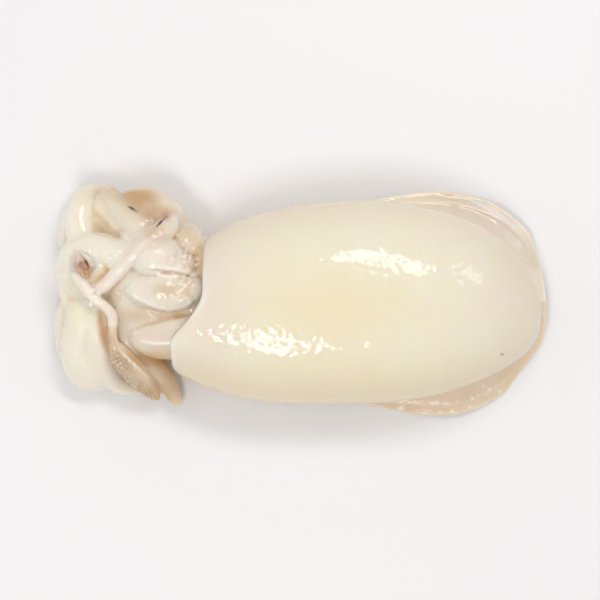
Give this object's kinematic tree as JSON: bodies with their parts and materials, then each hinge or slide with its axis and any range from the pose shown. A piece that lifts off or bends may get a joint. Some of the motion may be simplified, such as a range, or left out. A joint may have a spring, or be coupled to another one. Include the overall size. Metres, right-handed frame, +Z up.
{
  "type": "whole raw cuttlefish",
  "caption": "Cleaned raw cuttlefish lying on its back: a plump oval mantle with side fins, its head, funnel, arms and tentacles folded in at the front.",
  "frame": {"origin": "middle of the box's lower face, on the surface that the back lies on", "axes": "+X runs from the arms to the tail, +Y to the left seen from above with the tail ahead, +Z up out of the belly"},
  "size_m": [0.1316, 0.062, 0.0305],
  "materials": {
    "raw_flesh": "wet ivory flesh, slightly see-through, glossy"
  },
  "bodies": {
    "root": {"cuttlefish": "raw_flesh"}
  },
  "joints": []
}
